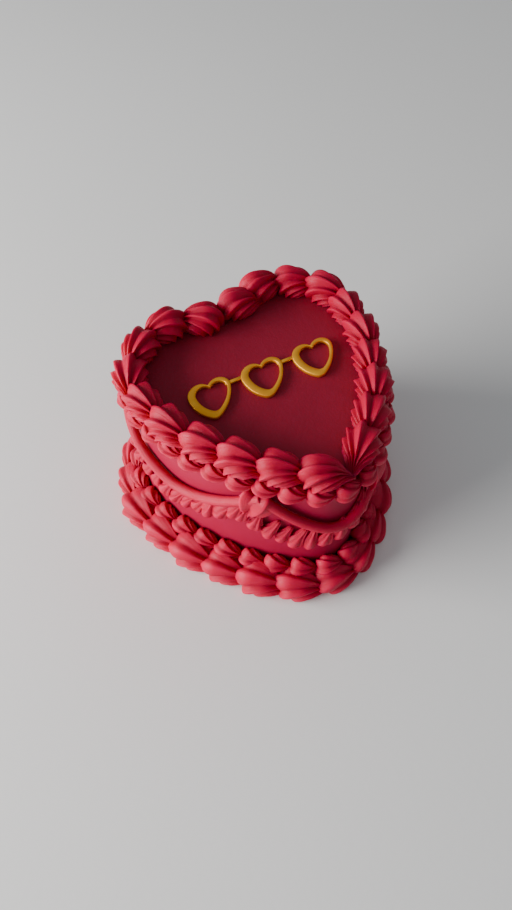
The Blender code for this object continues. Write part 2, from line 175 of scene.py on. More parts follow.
camera = bpy.data.objects.new("camera", bpy.data.cameras.new("camera"))
camera.data.sensor_width = SENSOR_WIDTH
camera.data.lens = FOCAL_PIXELS / PHOTO_LONG_SIDE * SENSOR_WIDTH
heading = Vector((math.sin(CAMERA_HEADING), math.cos(CAMERA_HEADING), 0))
level = Vector((heading.y, -heading.x, 0))
forward = heading * math.cos(CAMERA_PITCH) - Vector((0, 0, math.sin(CAMERA_PITCH)))
down = forward.cross(level)
right = level * math.cos(CAMERA_ROLL) + down * math.sin(CAMERA_ROLL)
down = forward.cross(right)
camera.matrix_world = (
    Matrix.Translation(CAMERA_PLACE + SHIFT)
    @ Matrix((right, -down, -forward)).transposed().to_4x4()
)
bpy.context.scene.collection.objects.link(camera)
bpy.context.scene.camera = camera
print("lens", round(camera.data.lens, 2), "mm at", [round(v, 4) for v in camera.location])

# %% [markdown]
# ## Shader maths as sums
# A material is a graph of nodes. Wiring them one by one is long, so one small class wraps a
# socket and overloads the operators: `1 - mask * 0.5` adds its two Math nodes. Everything else
# comes from one method that takes a node's type, its settings and the values of its sockets.


# %% One wrapped socket
class Signal:
    """The output of a node, which can stand in sums with numbers and other signals."""

    def __init__(self, paint, socket):
        self.paint, self.socket = paint, socket

    def maths(self, operation, *values, clamp=False):
        """One Math node on these values."""
        settings = {"operation": operation, "use_clamp": clamp}
        return self.paint.node("ShaderNodeMath", settings, dict(enumerate(values)))[0]

    def __add__(self, other):
        return self.maths("ADD", self, other)

    def __sub__(self, other):
        return self.maths("SUBTRACT", self, other)

    def __rsub__(self, other):
        return self.maths("SUBTRACT", other, self)

    def __mul__(self, other):
        return self.maths("MULTIPLY", self, other)

    def __pow__(self, other):
        return self.maths("POWER", self, other)

    __radd__ = __add__
    __rmul__ = __mul__

    def clamped(self):
        """The same value, kept between 0 and 1."""
        return self.maths("ADD", self, 0, clamp=True)


# %% The paint that holds the nodes
class Paint:
    """A node material. Values that are the same all over go on the shader's own sockets."""

    def __init__(self, name, **even):
        self.material = bpy.data.materials.new(name)
        self.material.use_nodes = True
        self.tree = self.material.node_tree
        self.shader = self.tree.nodes["Principled BSDF"]
        for socket, value in even.items():
            self.shader.inputs[socket.replace("_", " ")].default_value = value

    def node(self, kind, settings=None, inputs=None):
        """Adds a node, sets it, fills its sockets, and returns its outputs as signals."""
        made = self.tree.nodes.new(kind)
        for name, value in (settings or {}).items():
            setattr(made, name, value)
        for name, value in (inputs or {}).items():
            self.fill(made.inputs[name], value)
        return [Signal(self, output) for output in made.outputs]

    def fill(self, socket, value):
        """Links a signal to a socket, or sets the socket to a plain value."""
        if isinstance(value, Signal):
            self.tree.links.new(value.socket, socket)
        else:
            socket.default_value = value

    def blend(self, factor, first, second):
        """A colour between two colours."""
        settings = {"data_type": "RGBA", "clamp_factor": True}
        return self.node("ShaderNodeMix", settings, {0: factor, 6: first, 7: second})[2]

    def speckle(self, place, scale, detail=2.0, roughness=0.5):
        """Soft random values from 0 to 1, with spots of about 1 / scale."""
        inputs = {"Vector": place, "Scale": scale, "Detail": detail, "Roughness": roughness}
        return self.node("ShaderNodeTexNoise", None, inputs)[0]

    def bump(self, height, strength, distance):
        """A normal that tilts as if the surface rose by up to this distance."""
        inputs = {"Height": height, "Strength": strength, "Distance": distance}
        return self.node("ShaderNodeBump", None, inputs)[0]

    def place(self):
        """The point of the object itself, in metres."""
        return self.node("ShaderNodeTexCoord")[3]

    def attribute(self, name):
        """The value that a piece's mesh keeps at each point under this name."""
        return self.node("ShaderNodeAttribute", {"attribute_name": name})

    def finish(self, **varying):
        """Links what changes over the surface, and gives the material."""
        for socket, value in varying.items():
            self.fill(self.shader.inputs[socket.replace("_", " ")], value)
        print("material", self.material.name, "has", len(self.tree.nodes), "nodes")
        return self.material


# %% [markdown]
# ## Buttercream
# Red buttercream is butter and sugar beaten with a deep food colour. It has a soft satin face,
# a grain of fine sugar, and small uneven patches where the colour is less mixed. A flat red with
# some gloss would look like plastic. So the colour drifts a little over the surface, thin crests
# get a painted highlight, grooves get painted shade, the top takes a darker, greyer red as
# painted shade and sheen, and a fine bump breaks up the shine. A noise's values gather round one
# half, so the sums stretch them before they mix two colours.

# %% Colours of the cream and the gold
# The deepest cream red is painted shade for the grooves. The palest is a painted highlight for
# the crests and also the colour of random paler patches. The top red is painted shade and sheen
# on the body's top.
GROOVE_SHADE_RED = (0.300, 0.0010, 0.0180, 1)
CREAM_RED = (0.490, 0.0018, 0.0370, 1)
PALE_PATCH_AND_HIGHLIGHT_RED = (0.650, 0.0050, 0.0650, 1)
ICING_RED = (0.345, 0.0060, 0.0400, 1)
ICING_DEEP = (0.285, 0.0050, 0.0320, 1)
TOP_SHADE_AND_SHEEN_RED = (0.300, 0.0150, 0.0370, 1)
GOLD_LIGHT = (1.000, 0.500, 0.035, 1)
GOLD_DEEP = (0.920, 0.370, 0.020, 1)
CREAM_DEPTH, CREAM_REACH, CREAM_GLOW = 0.30, 0.0030, (1.0, 0.12, 0.16)


# %% Smooth icing of the body: spots per metre, gloss, and strength and height of its bump
ICING_PATCHES, ICING_GRAIN, ICING_STIPPLE = 45, 1400, 620
ICING_SCRAPES, SCRAPE_SHAPE = 40, (1, 1, 9)
ICING_GLOSS, ICING_BUMP = 0.12, (0.35, 0.0004)


def smooth_icing():
    paint = Paint(
        "smooth_icing", Specular_IOR_Level=ICING_GLOSS, Subsurface_Weight=CREAM_DEPTH,
        Subsurface_Radius=CREAM_GLOW, Subsurface_Scale=CREAM_REACH,
    )
    place = paint.place()
    patches = paint.speckle(place, ICING_PATCHES, 3)
    grain = paint.speckle(place, ICING_GRAIN, 2)
    flat = paint.node("ShaderNodeMapping", None, {"Vector": place, "Scale": SCRAPE_SHAPE})[0]
    scrape = paint.speckle(flat, ICING_SCRAPES, 2)
    colour = paint.blend((patches * 1.6 - 0.35).clamped(), ICING_DEEP, ICING_RED)
    colour = paint.blend((grain - 0.5) * 0.5 + 0.55, colour, ICING_RED)
    # The top of the body takes a darker, greyer red than the wall: painted shade and painted
    # sheen, stippled with the cream's own grain.
    top = paint.attribute("top")[2]
    stipple = paint.speckle(place, ICING_STIPPLE, 2)
    colour = paint.blend(top * (stipple * 0.5 + 0.6), colour, TOP_SHADE_AND_SHEEN_RED)
    height = grain * 0.5 + scrape * 0.4 + top * stipple * (patches * 1.6)
    return paint.finish(
        Base_Color=colour,
        Roughness=patches * 0.16 + grain * 0.12 + 0.36,
        Normal=paint.bump(height, *ICING_BUMP),
    )


# %% Piped cream: painted highlights on crests, painted shade in grooves, lengthwise strands
CREAM_PATCHES, CREAM_GRAIN, CREAM_STRANDS = 120, 1600, 3.0
CREAM_GLOSS, CREAM_BUMP = 0.20, (0.55, 0.0007)


def piped_cream():
    paint = Paint(
        "piped_cream", Specular_IOR_Level=CREAM_GLOSS, Subsurface_Weight=CREAM_DEPTH,
        Subsurface_Radius=CREAM_GLOW, Subsurface_Scale=CREAM_REACH,
    )
    place = paint.place()
    crest = paint.attribute("crest")[2]
    flow = paint.attribute("flow")[1]
    patches = paint.speckle(place, CREAM_PATCHES, 2)
    grain = paint.speckle(place, CREAM_GRAIN, 2)
    strands = paint.speckle(flow, CREAM_STRANDS, 3, 0.6)
    # Painted shade: the grooves and the spot under each head turn to the deepest red.
    groove_shade = (1 - crest) ** 2.5
    colour = paint.blend(groove_shade * 0.45, CREAM_RED, GROOVE_SHADE_RED)
    # Painted highlight: thin crests turn to the palest red. The next line adds the same red in
    # random paler patches, which are the cream's own tone.
    colour = paint.blend(crest ** 7.0 * 0.85, colour, PALE_PATCH_AND_HIGHLIGHT_RED)
    colour = paint.blend(patches * 0.5 - 0.17, colour, PALE_PATCH_AND_HIGHLIGHT_RED)
    height = strands * 0.80 + grain * 0.30
    return paint.finish(
        Base_Color=colour,
        Roughness=0.27 + patches * 0.16 + (1 - crest) * 0.14,
        Normal=paint.bump(height, *CREAM_BUMP),
    )


# %% [markdown]
# ## Satin gold
# Thin gold card for cakes has a brushed, cloudy shine. A pure metal would be truest, but on a
# pale floor under one window it turns dark wherever it mirrors the room. So it is two thirds
# metal, in two golds that drift into each other, and its roughness drifts with them.

# %% Gold of the ornament
GOLD_CLOUDS, GOLD_GRAIN = 160, 2600
GOLD_METAL, GOLD_GLOSS, GOLD_BUMP = 0.65, 0.5, (0.20, 0.0002)


def satin_gold():
    paint = Paint("satin_gold", Metallic=GOLD_METAL, Specular_IOR_Level=GOLD_GLOSS)
    place = paint.place()
    cloud = paint.speckle(place, GOLD_CLOUDS, 3)
    grain = paint.speckle(place, GOLD_GRAIN, 1)
    return paint.finish(
        Base_Color=paint.blend((cloud * 1.8 - 0.4).clamped(), GOLD_DEEP, GOLD_LIGHT),
        Roughness=0.34 + cloud * 0.18,
        Normal=paint.bump(grain, *GOLD_BUMP),
    )


ICING, CREAM, GOLD = smooth_icing(), piped_cream(), satin_gold()


# %% [markdown]
# ## Keeping a piece
# Each finished mesh becomes one object. It takes its material, is named after the solid it stands
# for, and rides on the cake's one body.


# %% Turn points and faces into a piece of the cake
def piece(name, points, faces, material, values=None):
    """Keeps the points inside the CAD box, and adds the object in place of the solid."""
    mesh = bpy.data.meshes.new(name)
    points = np.clip(points + np.array(SHIFT), cad_low, cad_high)
    mesh.from_pydata(points.tolist(), [], faces)
    mesh.materials.append(material)
    mesh.shade_smooth()
    for key, numbers in (values or {}).items():
        vector = numbers.ndim == 2
        layer = mesh.attributes.new(key, "FLOAT_VECTOR" if vector else "FLOAT", "POINT")
        layer.data.foreach_set("vector" if vector else "value", numbers.ravel())
    mesh.update()
    made = bpy.data.objects.new("fine_" + name, mesh)
    bpy.context.scene.collection.objects.link(made)
    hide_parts(name)
    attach(made, "root")
    print(made.name, len(mesh.vertices), "points", sum(len(f) - 2 for f in faces), "triangles")


# %% [markdown]
# ## The iced body
# The body is a block of cake under a coat of buttercream, pulled smooth with a scraper. A plain
# extrusion would be too perfect. Here rings of points climb the wall, turn over a soft edge and
# close in on the middle of the top, and each is moved a fraction of a millimetre by slow waves.

# %% Slow waves, for the unevenness of everything that is made by hand
WAVES, SLOWEST, FASTEST, WAVES_SUM = 7, 90, 260, 3
ANY_TURN = 6.3


def slow_waves(points, seed):
    """Gentle unevenness between about -1 and 1 at each point."""
    dice = random.Random(seed)
    total = np.zeros(len(points))
    for _ in range(WAVES):
        pull = np.array([dice.gauss(0, 1) for _ in range(3)])
        pull *= dice.uniform(SLOWEST, FASTEST) / np.linalg.norm(pull)
        total += np.sin(points @ pull + dice.uniform(0, ANY_TURN))
    return total / WAVES_SUM


# %% Rings of the body, from the foot to the middle of the top
EDGE_ROUND = 0.0022
BODY_AROUND, WALL_RINGS, EDGE_RINGS, TOP_RINGS = 360, 44, 7, 40
LAST_RING = 0.02
WAVE_DEPTH, TOP_WAVE, STILL_FOOT = 0.00022, 0.6, 0.01
TOP_BLEND = 0.001
BODY_SEED = 3


def iced_body():
    outline = Path(WALL_OUT)
    steps = np.linspace(0, outline.length, BODY_AROUND, endpoint=False)
    edge = np.array([outline.place(step) for step in steps])
    inset = Path(WALL_OUT - EDGE_ROUND)
    start = outline.length / inset.length
    soft = np.array([inset.place(step / start) for step in steps])
    rings = [(edge, z) for z in np.linspace(0, CAKE_HEIGHT - EDGE_ROUND, WALL_RINGS)]
    for turn in np.linspace(0, math.pi / 2, EDGE_RINGS)[1:]:
        rings.append((
            soft + (edge - soft) * math.cos(turn),
            CAKE_HEIGHT - EDGE_ROUND + EDGE_ROUND * math.sin(turn),
        ))
    for share in np.linspace(1, LAST_RING, TOP_RINGS)[1:]:
        rings.append((soft * share, CAKE_HEIGHT))
    points = np.array([(p.real, p.imag, z) for ring, z in rings for p in ring])
    uneven = slow_waves(points, BODY_SEED) * WAVE_DEPTH
    count = len(points)
    climb = np.clip(points[:, 2] / STILL_FOOT, 0, 1)
    wall = np.repeat([i < WALL_RINGS for i in range(len(rings))], BODY_AROUND)
    outward = points[:, :2] / np.linalg.norm(points[:, :2], axis=1)[:, None]
    points[:, :2] -= outward * (abs(uneven) * climb * wall)[:, None]
    points[:, 2] -= np.where(wall, 0, abs(uneven) * TOP_WAVE)
    points = np.vstack([points, [(0, 0, points[-BODY_AROUND:, 2].mean())]])
    faces = [
        (r * BODY_AROUND + i, (r + 1) * BODY_AROUND + i,
         (r + 1) * BODY_AROUND + (i + 1) % BODY_AROUND, r * BODY_AROUND + (i + 1) % BODY_AROUND)
        for r in range(len(rings) - 1)
        for i in range(BODY_AROUND)
    ]
    last = (len(rings) - 1) * BODY_AROUND
    faces += [(last + i, count, last + (i + 1) % BODY_AROUND) for i in range(BODY_AROUND)]
    faces.append(tuple(range(BODY_AROUND)))
    top = np.clip(points[:, 2] / TOP_BLEND - (CAKE_HEIGHT - EDGE_ROUND) / TOP_BLEND, 0, 1)
    piece("cake_body", points, faces, ICING, {"top": top})


iced_body()

# %% [markdown]
# ## One piped shell
# A shell comes from a star nozzle that is pressed, lifted, and pulled away: the cream swells to a
# fat head, curls over, and thins to a tail. The ridges are the star's teeth. They fan out from
# the tail, run over the head and curl under it. A star swept along a line gives straight ridges
# and a cut-off head. Here a row of balls makes the swelling form, and the ridges are drawn on it
# as the circles through two points of a globe: one at the tail, one under the head.

# %% The swelling form as a row of balls: along, up and radius, in units of the shell's radius
SHELL_BALLS = (
    (-0.12, 0.54, 0.94), (0.22, 0.50, 0.88), (0.68, 0.30, 0.62), (1.20, 0.14, 0.32),
    (1.62, 0.04, 0.10),
)
LONG_BALLS = SHELL_BALLS[:3] + ((1.28, 0.16, 0.34), (1.80, 0.03, 0.08))
SMALL_BALLS = (
    (-0.10, 0.40, 0.90), (0.30, 0.34, 0.78), (0.85, 0.20, 0.48), (1.45, 0.05, 0.12),
)
FOOT_BALLS = (
    (-0.12, 0.54, 0.94), (0.24, 0.50, 0.90), (0.72, 0.34, 0.72), (1.24, 0.20, 0.44),
    (1.66, 0.06, 0.14),
)
SHELL_SQUASH = 0.92
BALLS = 48


def threaded(balls):
    """Many balls between the given ones, along a smooth curve through them."""
    given = np.array(balls)
    knots = np.append(0, np.cumsum(np.linalg.norm(np.diff(given[:, :2], axis=0), axis=1)))
    wanted = np.linspace(0, knots[-1], BALLS)
    slopes = np.gradient(given, knots, axis=0)
    index = np.clip(np.searchsorted(knots, wanted, side="right") - 1, 0, len(knots) - 2)
    width = (knots[index + 1] - knots[index])[:, None]
    part = ((wanted - knots[index]) / (knots[index + 1] - knots[index]))[:, None]
    return (
        given[index] * (1 + 2 * part) * (1 - part) ** 2
        + given[index + 1] * part**2 * (3 - 2 * part)
        + slopes[index] * width * part * (1 - part) ** 2
        - slopes[index + 1] * width * part**2 * (1 - part)
    )


def leave_balls(balls, middle, ways):
    """Where rays from the middle leave the row of balls, and which ball each leaves."""
    centres = np.stack([balls[:, 0], np.zeros(len(balls)), balls[:, 1]], 1) - middle
    ahead = ways @ centres.T
    inside = balls[:, 2] ** 2 - (centres**2).sum(1) + ahead**2
    reach = np.where(inside > 0, ahead + np.sqrt(np.maximum(inside, 0)), -1)
    which = reach.argmax(-1)
    return np.take_along_axis(reach, which[..., None], -1)[..., 0], which


# %% Circles through the tail and the spot under the head
TAIL_DIRECTION = math.radians(-12)
UNDER_HEAD = math.radians(-82)


def globe_ways(along, around):
    """Directions on a globe whose two poles are the tail and the spot under the head."""
    tail = np.array([math.cos(TAIL_DIRECTION), 0, math.sin(TAIL_DIRECTION)])
    under = np.array([math.cos(UNDER_HEAD), 0, math.sin(UNDER_HEAD)])
    between = (tail + under) / np.linalg.norm(tail + under)
    axis = (tail - under) / np.linalg.norm(tail - under)
    across = np.cross(axis, between)
    pull = float(tail @ between)
    stretch = 1 / math.sqrt(1 - pull**2)
    round_part = 1 / np.cosh(along)
    a = round_part * np.cos(around)
    b = round_part * np.sin(around)
    c = np.tanh(along)
    shrink = stretch * (1 + pull * a)
    a = stretch * (a + pull) / shrink
    b, c = b / shrink, c / shrink
    return a[..., None] * between + b[..., None] * across + c[..., None] * axis


# %% The shell itself
class Shell:
    """One kind of piped shell. Each call of made() gives a slightly different one."""

    # Where the rays start, how far the circles run, and the angle that shows
    MIDDLE = np.array([0.12, 0, 0.44])
    POLE, PLAIN_POLE, PROFILE = 4.0, 2.2, 400
    SHOWN, HIDDEN_STEPS = math.radians(74), 10
    # How the ridges twist and bend over the head, lean on each other and turn blunt
    HEAD_EDGE, TWIST, BENDS, BEND = 1.6, 2.2, 4, 0.7
    OVERLAP, BLUNT_FROM, BLUNT_EDGE = 0.24, 0.9, 3
    # How much the ridges differ in depth and length, and the longest one on the inner side
    WEAKEST, STRONGEST, TAIL_DEPTH = 0.82, 1.12, 0.85
    UNEVEN, UNEVEN_SHARE = 0.05, 0.7
    FINGER_SIDE, FINGER_WIDE, FINGER_LONG = 0.50, 0.25, 0.08
    # Lumps of the whole form, and the values that the material reads
    LUMP, LUMP_SCALE = 0.018, 0.016
    END_CRESTS = (0.0, 0.8)
    FLOW_ALONG, FLOW_AROUND, FLOW_APART = 0.25, 4, 50

    def __init__(self, balls, ridges, depth, rows, steps, soft, squash=SHELL_SQUASH):
        self.balls, self.ridges, self.depth = threaded(balls), ridges, depth
        self.rows, self.steps = rows, steps
        self.soft, self.squash = soft, squash

    def spaced_rows(self):
        """Rows of points at even distances from under the head, over the top, to the tail."""
        along = np.linspace(-self.POLE, self.POLE, self.PROFILE)
        ways = globe_ways(along, np.full(self.PROFILE, math.pi))
        reach, _ = leave_balls(self.balls, self.MIDDLE, ways)
        points = ways * reach[:, None]
        gone = np.append(0, np.cumsum(np.linalg.norm(np.diff(points, axis=0), axis=1)))
        return np.interp(np.linspace(0, gone[-1], self.rows), gone, along)

    def spaced_steps(self):
        """Angles round the shell: close together where it shows, few underneath."""
        low, high = math.pi - self.SHOWN, math.pi + self.SHOWN
        seen = np.linspace(low, high, self.steps)
        hidden = np.linspace(high, 3 * math.pi - self.SHOWN, self.HIDDEN_STEPS + 2)[1:-1]
        return np.append(seen, hidden)

    def made(self, dice, inner=0):
        """Points, faces, crest and flow of one shell. inner is the side with the long finger."""
        along, around = np.meshgrid(self.spaced_rows(), self.spaced_steps(), indexing="ij")
        ways = globe_ways(along, around)
        reach, which = leave_balls(self.balls, self.MIDDLE, ways)
        centres = np.stack([self.balls[:, 0], np.zeros(BALLS), self.balls[:, 1]], 1)[which]
        surface = self.MIDDLE + ways * reach[..., None]
        head = 1 / (1 + np.exp(self.HEAD_EDGE * along))
        turn = dice.uniform(0, math.pi) + dice.uniform(-self.TWIST, self.TWIST) * head
        turn = turn + self.BEND * np.sin(self.BENDS * around + dice.uniform(0, ANY_TURN))
        phase = (self.ridges * around + turn) / 2
        phase = phase + self.OVERLAP * np.cos(2 * phase)
        sharp, rounded = abs(np.sin(phase)), 1 - abs(np.cos(phase))
        blunt = self.soft / (1 + np.exp(self.BLUNT_EDGE * (along - self.BLUNT_FROM)))
        valley = sharp * (1 - blunt) + rounded * blunt
        tooth = np.round(phase / math.pi).astype(int) % self.ridges
        strength = self.per_ridge(dice, self.WEAKEST, self.STRONGEST)[tooth]
        near_pole = np.clip((along + self.POLE) / self.PLAIN_POLE, 0, 1)
        fade = near_pole * near_pole * (3 - 2 * near_pole)
        depth = self.depth * (self.TAIL_DEPTH + (1 - self.TAIL_DEPTH) * head) * strength * fade
        longer = self.per_ridge(dice, -self.UNEVEN, self.UNEVEN)[tooth]
        aside = (around - math.pi - inner * self.FINGER_SIDE) / self.FINGER_WIDE
        finger = np.exp(-(aside**2)) * abs(inner) * self.FINGER_LONG
        swell = 1 + (longer * self.UNEVEN_SHARE + finger) * head * fade * (1 - valley)
        lumps = slow_waves(surface.reshape(-1, 3) * self.LUMP_SCALE, dice.randrange(10**6))
        swell = swell + self.LUMP * lumps.reshape(swell.shape) * fade
        points = centres + (surface - centres) * ((1 - depth * valley) * swell)[..., None]
        ends = points[[0, -1]].mean(axis=1)
        points = np.vstack([points.reshape(-1, 3), ends])
        points[:, 2] *= self.squash
        # crest is 1 on the ridge tops and 0 in the grooves and under the head. The material
        # paints a highlight where it is high and shade where it is low.
        crest = np.append(((1 - valley) * fade).ravel(), self.END_CRESTS)
        apart = np.full_like(along, dice.uniform(0, self.FLOW_APART))
        flow = np.stack([along * self.FLOW_ALONG, phase * self.FLOW_AROUND, apart], -1)
        flow = np.vstack([flow.reshape(-1, 3), np.zeros((2, 3))])
        return points, crest, flow

    def per_ridge(self, dice, low, high):
        """A random value for each ridge."""
        return np.array([dice.uniform(low, high) for _ in range(self.ridges)])

    def faces(self):
        """Quads between the rows, and a fan of triangles at each end."""
        wide = self.steps + self.HIDDEN_STEPS
        quads = [
            (r * wide + i, r * wide + (i + 1) % wide,
             (r + 1) * wide + (i + 1) % wide, (r + 1) * wide + i)
            for r in range(self.rows - 1)
            for i in range(wide)
        ]
        start, last = self.rows * wide, (self.rows - 1) * wide
        fan = [(start, (i + 1) % wide, i) for i in range(wide)]
        fan += [(start + 1, last + i, last + (i + 1) % wide) for i in range(wide)]
        return quads + fan


# %% Shells in their places, joined into one piece
def frame_of(place, along, up, scale=1.0):
    """The matrix that puts a shell at a place, with its tail and its top those ways."""
    along = along.normalized()
    across = up.cross(along).normalized()
    turn = Matrix((along, across, along.cross(across))).transposed()
    return Matrix.Translation(place) @ turn.to_4x4() @ Matrix.Scale(scale, 4)


def piped_row(name, shells, radius, seed):
    """One piece from many shells. shells is a list of (kind of shell, matrix, inner side)."""
    dice = random.Random(seed)
    points, faces, crests, flows, start = [], [], [], [], 0
    for kind, matrix, inner in shells:
        local, crest, flow = kind.made(dice, inner)
        turn = np.array(matrix)
        local = local * radius @ turn[:3, :3].T + turn[:3, 3]
        points.append(local)
        faces += [tuple(start + v for v in face) for face in kind.faces()]
        start += len(local)
        crests.append(crest)
        flows.append(flow)
    values = {"crest": np.concatenate(crests), "flow": np.vstack(flows)}
    piece(name, np.vstack(points), faces, CREAM, values)


# %% [markdown]
# ## The large border on the rim
# Ten large shells run down each side of the heart, from the cleft to the point, where the two
# last tails meet. Their heads face the cleft, and each head covers the tail behind it. An array
# along a curve would lay them out, all alike. A baker spaces them by eye, so here a loop places
# each one, and its distance, direction, size and teeth vary a little.

# %% Rim shells
RIM_RADIUS = 0.0097
RIM_SHIFT = (-0.0013, 0.0008)
# Each side's sign, number of shells, first one's distance from the point, and pitch
RIM_RUNS = ((1, 10, 0.0108, 0.0178), (-1, 10, 0.0165, 0.0169))
RIM_STRAY, RIM_TURN, RIM_SIZE = 0.0006, 0.07, 0.04
CLEFT_TURN = -0.8
RIM_SEED = 11
UP = Vector((0, 0, 1))


def wave(index, turn):
    """The unevenness of the shell with this index, as in the CAD part."""
    return math.sin(2.4 * index + turn) * math.cos(1.1 * index - turn)


def rim_shells():
    path = Path(0)
    usual = Shell(SHELL_BALLS, ridges=25, depth=0.33, rows=38, steps=96, soft=0.5)
    long = Shell(LONG_BALLS, ridges=25, depth=0.36, rows=42, steps=96, soft=0.3)
    shells = []
    for side, count, first, pitch in RIM_RUNS:
        for index in range(count):
            place, way, out = path.at(side * (first + pitch * index))
            place += out * RIM_STRAY * wave(index, side)
            place += Vector((*RIM_SHIFT, CAKE_HEIGHT))
            way = (-side * way + out * RIM_TURN * wave(index, side + 2)).normalized()
            if side < 0 and index == count - 1:
                way = (way + out * CLEFT_TURN).normalized()
            size = 1 + RIM_SIZE * wave(index, side + 1)
            kind = long if side < 0 and index == 0 else usual
            shells.append((kind, frame_of(place, way, UP, size), side))
    piped_row("rim_border", shells, RIM_RADIUS, RIM_SEED)


rim_shells()

# %% [markdown]
# ## The small rows
# A row of small shells hides the gap under the rim, and a double border stands round the foot:
# fat shells on the floor, and small ones that nestle in the corner above them. All of them
# point the same way round the cake. Each row could have its own loop, but they differ only in
# their measures, so one function pipes all three.

# %% Rings of shells round the wall
RING_SIZE = 0.05
# Shares of the way round, and how far the shells stand out there, as a share of their row's most
REACH_AT = (0.00, 0.03, 0.08, 0.27, 0.32, 0.93, 0.98, 1.00)
REACH = (-0.5, 0.3, 1.0, 1.0, 0.0, 0.0, -0.5, -0.5)
FOOT_FAR, FOOT_FAT, LEDGE_FAR = 0.0025, 0.10, 0.0002
# "out" is measured from the wall, "lean" in degrees, and "phase" in shells from the point
UNDER = {
    "radius": 0.0058, "count": 33, "out": 0.0008, "height": 0.0775, "lean": 90, "phase": 0.2,
    "seed": 21,
}
FOOT = {
    "radius": 0.0094, "count": 23, "out": 0.0068, "height": 0.0012, "lean": 20, "phase": 0.34,
    "seed": 31,
}
LEDGE = {
    "radius": 0.0062, "count": 31, "out": 0.0026, "height": 0.0106, "lean": 54, "phase": 0.5,
    "seed": 41,
}


def ring(name, kind, row, far=0, fat=0):
    """A ring of shells that lean out from the wall, their tails running one way."""
    path = Path(WALL_OUT + row["out"])
    lean = math.radians(row["lean"])
    shells = []
    for index in range(row["count"]):
        place, way, outward = path.at((index + row["phase"]) * path.length / row["count"])
        reach = np.interp((index + row["phase"]) / row["count"], REACH_AT, REACH)
        place += outward * far * reach
        place.z = row["height"]
        up = UP * math.cos(lean) + outward * math.sin(lean)
        size = (1 + RING_SIZE * wave(index, row["phase"])) * (1 + fat * max(reach, 0))
        shells.append((kind, frame_of(place, -way, up, size), 0))
    piped_row(name, shells, row["radius"], row["seed"])


small_kind = Shell(SMALL_BALLS, ridges=15, depth=0.30, rows=24, steps=60, soft=0.9)
foot_kind = Shell(FOOT_BALLS, ridges=19, depth=0.29, rows=34, steps=84, soft=0.8)
ring("under_rim_border", small_kind, UNDER)
ring("foot_border", foot_kind, FOOT, FOOT_FAR, FOOT_FAT)
ring("ledge_border", small_kind, LEDGE, LEDGE_FAR)

# %% [markdown]
# ## Drops, ropes and ruffles
# On the wall, smooth ropes hang in swags between five joints. Each joint is covered by a large
# shell whose tail points down. Below each rope runs a ruffle of small shells, their heads down
# and their tails tucked under the rope. A rope could be a curve with a round bevel. It is meshed
# ring by ring instead, because each of its points also keeps what the cream's material reads.

# %% Where the swags hang
ROPE_RADIUS, ROPE_OUT = 0.0025, 0.0030
SWAG_TOP, SWAG_LOW, SWAG_CURVE = 0.0690, 0.0470, 1.7
FRONT_JOINT, SIDE_JOINT = 0.0395, 0.1330
SWAG_NAMES = ("left", "back_left", "back_right", "right", "front")
JOINT_NAMES = ("front_left", "side_left", "cleft", "side_right", "front_right")
DROP_RADIUS, DROP_HEIGHT, DROP_TILT = 0.0098, 0.0638, 0.35
rope_path = Path(WALL_OUT + ROPE_OUT)
half = rope_path.length / 2
joints = [FRONT_JOINT, SIDE_JOINT, half, 2 * half - SIDE_JOINT, 2 * half - FRONT_JOINT]
spans = list(zip(joints, joints[1:] + [joints[0] + rope_path.length]))


def swag_height(fraction):
    """The rope's height at a fraction of the way along, as a hanging curve."""
    return SWAG_LOW + (SWAG_TOP - SWAG_LOW) * abs(2 * fraction - 1) ** SWAG_CURVE


# %% Drop shells at the joints
DROP_BALLS = SHELL_BALLS[:3] + ((1.35, 0.30, 0.42), (2.00, 0.26, 0.08))
DROP_SEED = 51
drop_kind = Shell(DROP_BALLS, ridges=14, depth=0.62, rows=46, steps=90, soft=0.0, squash=0.58)
for number, (joint, name) in enumerate(zip(joints, JOINT_NAMES)):
    place, way, out = Path(WALL_OUT).at(joint)
    place.z = DROP_HEIGHT
    matrix = frame_of(place, way * DROP_TILT - UP, out)
    piped_row("drop_" + name, [(drop_kind, matrix, 0)], DROP_RADIUS, DROP_SEED + number)

# %% Ropes
ROPE_AROUND, ROPE_ALONG = 28, 110
ROPE_WAVE, ROPE_WAVE_SCALE = 0.00010, 1.8
ROPE_FLOW, ROPE_CREST = 3, 0.62
ROPE_SEED = 61


